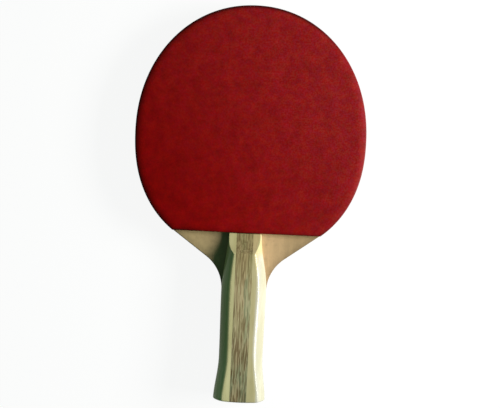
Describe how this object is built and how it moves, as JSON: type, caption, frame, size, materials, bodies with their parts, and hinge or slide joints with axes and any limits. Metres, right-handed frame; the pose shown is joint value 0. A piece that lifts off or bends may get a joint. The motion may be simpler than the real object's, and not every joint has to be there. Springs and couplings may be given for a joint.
{
  "type": "table tennis racket",
  "caption": "Table tennis racket: a rounded laminated wooden blade with smooth rubber over sponge on both faces and a flared, bevelled handle of striped wooden scales.",
  "frame": {"origin": "middle of the racket's length, width and thickness", "axes": "+Y along the handle towards the tip of the head, +Z out of the red playing face, +X to the right as the red face is seen with the tip up"},
  "size_m": [0.15, 0.2568, 0.0242],
  "materials": {
    "red_rubber": "smooth, matte dark red",
    "black_rubber": "smooth, matte black",
    "sponge": "fine foam, yellow-orange",
    "face_veneer": "sanded light veneer, thin sealer",
    "cross_veneer": "raw veneer edge",
    "core_wood": "raw light wood edge",
    "pale_strip": "pale wood, satin varnish",
    "dark_strip": "streaked darker wood, satin varnish"
  },
  "bodies": {
    "root": {"core_ply": "core_wood", "front_cross_ply": "cross_veneer", "rear_cross_ply": "cross_veneer", "front_face_ply": "face_veneer", "rear_face_ply": "face_veneer", "front_sponge": "sponge", "rear_sponge": "sponge", "front_topsheet": "red_rubber", "rear_topsheet": "black_rubber", "front_scale_left_strip": "pale_strip", "front_scale_centre_strip": "dark_strip", "front_scale_right_strip": "pale_strip", "rear_scale_left_strip": "pale_strip", "rear_scale_centre_strip": "dark_strip", "rear_scale_right_strip": "pale_strip"}
  },
  "joints": []
}
